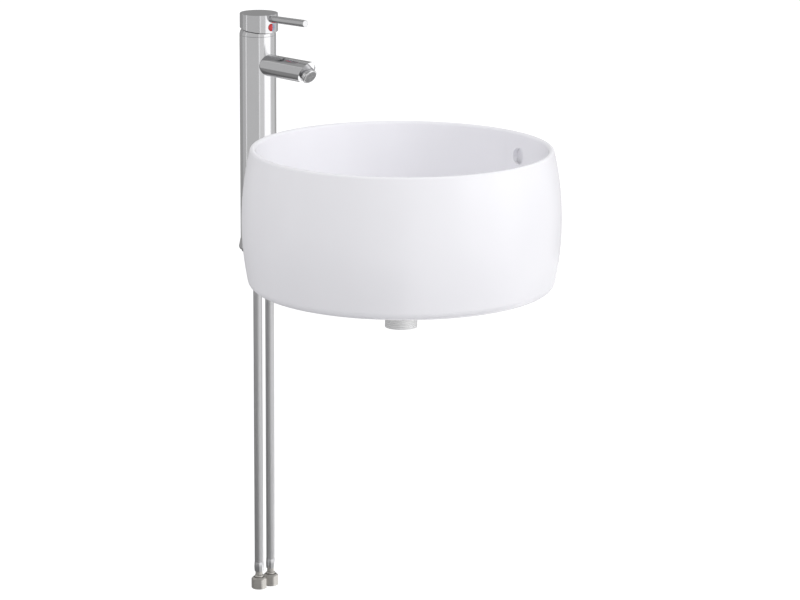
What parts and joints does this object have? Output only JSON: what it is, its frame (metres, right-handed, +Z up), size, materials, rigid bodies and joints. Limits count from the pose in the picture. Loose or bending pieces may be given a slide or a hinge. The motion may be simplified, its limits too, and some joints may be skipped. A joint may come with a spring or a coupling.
{
  "type": "washbasin",
  "caption": "Round white countertop basin with click waste and a tall single-lever mixer tap with braided hoses.",
  "frame": {"origin": "middle of the basin's foot ring, on the counter", "axes": "+Z up; the mixer stands on the +Y side and the user on the -Y side; +X to the user's right"},
  "size_m": [0.41, 0.5108, 0.7954],
  "materials": {
    "ceramic": "glossy white glaze",
    "chrome": "polished",
    "handle_chrome": "polished",
    "nickel": "satin nickel plate",
    "brass": "machined",
    "steel": "zinc plated",
    "braid": "woven wire",
    "ferrule": "pressed",
    "copper": "drawn",
    "rubber": "matt",
    "hose_liner": "matt",
    "white_plastic": "moulded",
    "grey_plastic": "moulded",
    "mesh_plastic": "fine mesh",
    "disc_ceramic": "lapped",
    "index": "red and blue halves"
  },
  "bodies": {
    "fixed": {"basin": "ceramic", "waste_body": "chrome", "waste_flange_seal": "rubber", "waste_rubber_washer": "rubber", "waste_back_nut": "brass", "plug_guide": "white_plastic", "plug_spring": "steel", "mixer_column": "chrome", "mixer_base_ring": "chrome", "mixer_base_gasket": "rubber", "hot_riser_pipe": "copper", "cold_riser_pipe": "copper", "fixing_stud": "steel", "spout_tube": "chrome", "aerator_housing": "chrome", "aerator_insert": "mesh_plastic", "aerator_seal": "rubber", "cartridge_housing": "grey_plastic", "cartridge_seals": "rubber", "fixed_ceramic_disc": "disc_ceramic", "cartridge_ring_nut": "brass", "dome_collar": "chrome", "hot_hose_connector": "nickel", "hot_hose_liner": "hose_liner", "hot_hose_braid": "braid", "hot_upper_ferrule": "ferrule", "hot_lower_ferrule": "ferrule", "hot_hose_tail": "nickel", "hot_nut_washer": "rubber", "cold_hose_connector": "nickel", "cold_hose_liner": "hose_liner", "cold_hose_braid": "braid", "cold_upper_ferrule": "ferrule", "cold_lower_ferrule": "ferrule", "cold_hose_tail": "nickel", "cold_nut_washer": "rubber"},
    "plug": {"plug_cap": "chrome", "plug_seal": "rubber", "plug_stem": "brass"},
    "spindle": {"cartridge_spindle": "white_plastic", "lever_pivot_pin": "steel"},
    "handle": {"handle_cap": "handle_chrome", "handle_lever": "handle_chrome", "index_button": "index", "handle_set_screw": "steel", "lever_stem": "steel"},
    "disc": {"moving_ceramic_disc": "disc_ceramic", "disc_carrier": "white_plastic"},
    "hot_nut": {"hot_hose_nut": "nickel"},
    "cold_nut": {"cold_hose_nut": "nickel"}
  },
  "joints": [
    {"name": "handle_turn", "type": "hinge", "parent": "fixed", "child": "spindle", "pos_m": [0, 0.279, 0.2857], "axis": [0, 0, 1], "range_deg": [-50, 50]},
    {"name": "handle_lift", "type": "hinge", "parent": "spindle", "child": "handle", "pos_m": [0, 0.279, 0.2857], "axis": [-1, 0, 0], "range_deg": [0, 20]},
    {"name": "disc_slide", "type": "slide", "parent": "spindle", "child": "disc", "axis": [0, -1, 0], "range_m": [0, 0.0019]},
    {"name": "plug_travel", "type": "slide", "parent": "fixed", "child": "plug", "axis": [0, 0, 1], "range_m": [0, 0.008], "deforming": ["plug_spring"]},
    {"name": "hot_nut_spin", "type": "hinge", "parent": "fixed", "child": "hot_nut", "pos_m": [-0.0106, 0.2698, -0.4644], "axis": [0, 0, 1], "continuous": true},
    {"name": "cold_nut_spin", "type": "hinge", "parent": "fixed", "child": "cold_nut", "pos_m": [0.0106, 0.2698, -0.4644], "axis": [0, 0, 1], "continuous": true}
  ],
  "couplings": [
    {"joint": "disc_slide", "follows": "handle_lift", "m_per_rad": 0.0052}
  ]
}
